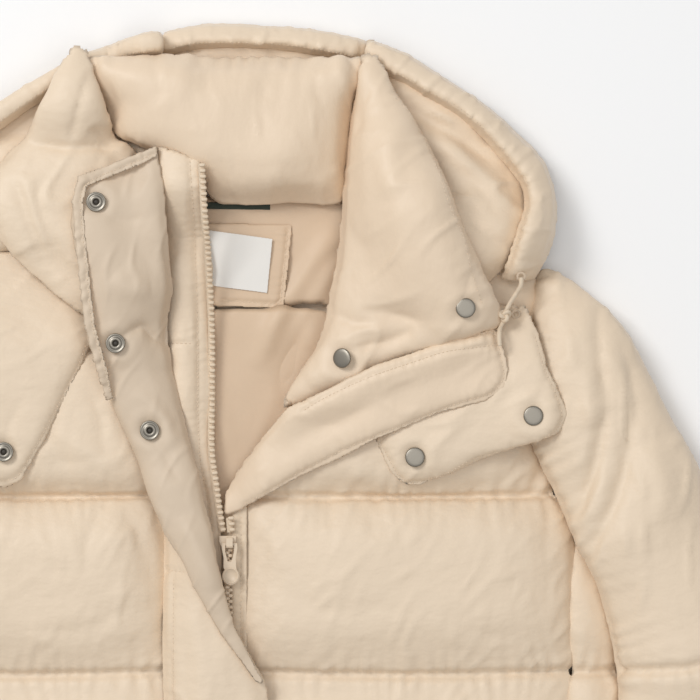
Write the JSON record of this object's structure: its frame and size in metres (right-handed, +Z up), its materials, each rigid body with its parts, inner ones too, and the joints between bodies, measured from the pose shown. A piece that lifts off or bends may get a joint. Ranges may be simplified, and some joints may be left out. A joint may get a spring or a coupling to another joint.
{
  "type": "hooded down jacket",
  "caption": "Hooded down jacket laid open on its back, with storm flap, front zip, turned-out collar and snap tabs.",
  "frame": {"origin": "on the floor plane under the back panel, below the point where the front zip parts", "axes": "+Z up from the floor the jacket lies on, +Y towards the hood, +X towards the wearer's left side"},
  "size_m": [0.888, 0.8758, 0.0853],
  "materials": {
    "shell": "semi-matte woven nylon",
    "flap_underside": "semi-matte woven nylon",
    "lining": "smooth woven lining",
    "zip_plastic": "moulded plastic, matte",
    "zip_tape": "woven tape",
    "snap_metal": "brushed nickel",
    "cord": "braided cord",
    "eyelet_thread": "stitched eyelet",
    "label": "woven satin label, bare",
    "loop_tape": "woven tape"
  },
  "bodies": {
    "jacket": {"back_panel": "shell", "cap_collar_lower": "snap_metal", "cap_collar_upper": "snap_metal", "cap_tab_inner": "snap_metal", "cap_tab_outer": "snap_metal", "collar_back": "shell", "collar_left": "shell", "collar_right": "shell", "drawcord_end": "cord", "drawcord_knot": "cord", "drawcord_right": "cord", "eyelet_left": "eyelet_thread", "eyelet_right_lower": "eyelet_thread", "eyelet_right_upper": "eyelet_thread", "flap_binding": "flap_underside", "front_left": "shell", "front_right": "shell", "guard_strip": "shell", "hanging_loop": "loop_tape", "hood_back": "shell", "hood_left": "shell", "hood_right": "shell", "hood_rim_back": "shell", "hood_rim_left": "shell", "hood_rim_right": "shell", "hood_tab_left": "shell", "hood_tab_right": "shell", "neck_facing": "lining", "neck_label": "label", "neck_lining": "lining", "side_panel_left": "shell", "side_panel_right": "shell", "sleeve_left": "shell", "sleeve_right": "shell", "slider": "zip_plastic", "slider_bridge": "zip_plastic", "socket_flap_lower": "snap_metal", "socket_flap_middle": "snap_metal", "socket_flap_upper": "snap_metal", "socket_tab_inner": "snap_metal", "socket_tab_outer": "snap_metal", "storm_flap_lower": "shell", "storm_flap_open": "flap_underside", "zip_chain": "zip_plastic", "zip_strip_left": "shell", "zip_tape": "zip_tape", "zip_teeth_left": "zip_plastic", "zip_teeth_right": "zip_plastic"},
    "pull": {"pull_tab": "zip_plastic"}
  },
  "joints": [
    {"name": "pull_hinge", "type": "hinge", "parent": "jacket", "child": "pull", "pos_m": [0.0012, -0.0157, 0.0397], "axis": [-1, 0, 0], "range_deg": [0, 110]}
  ]
}
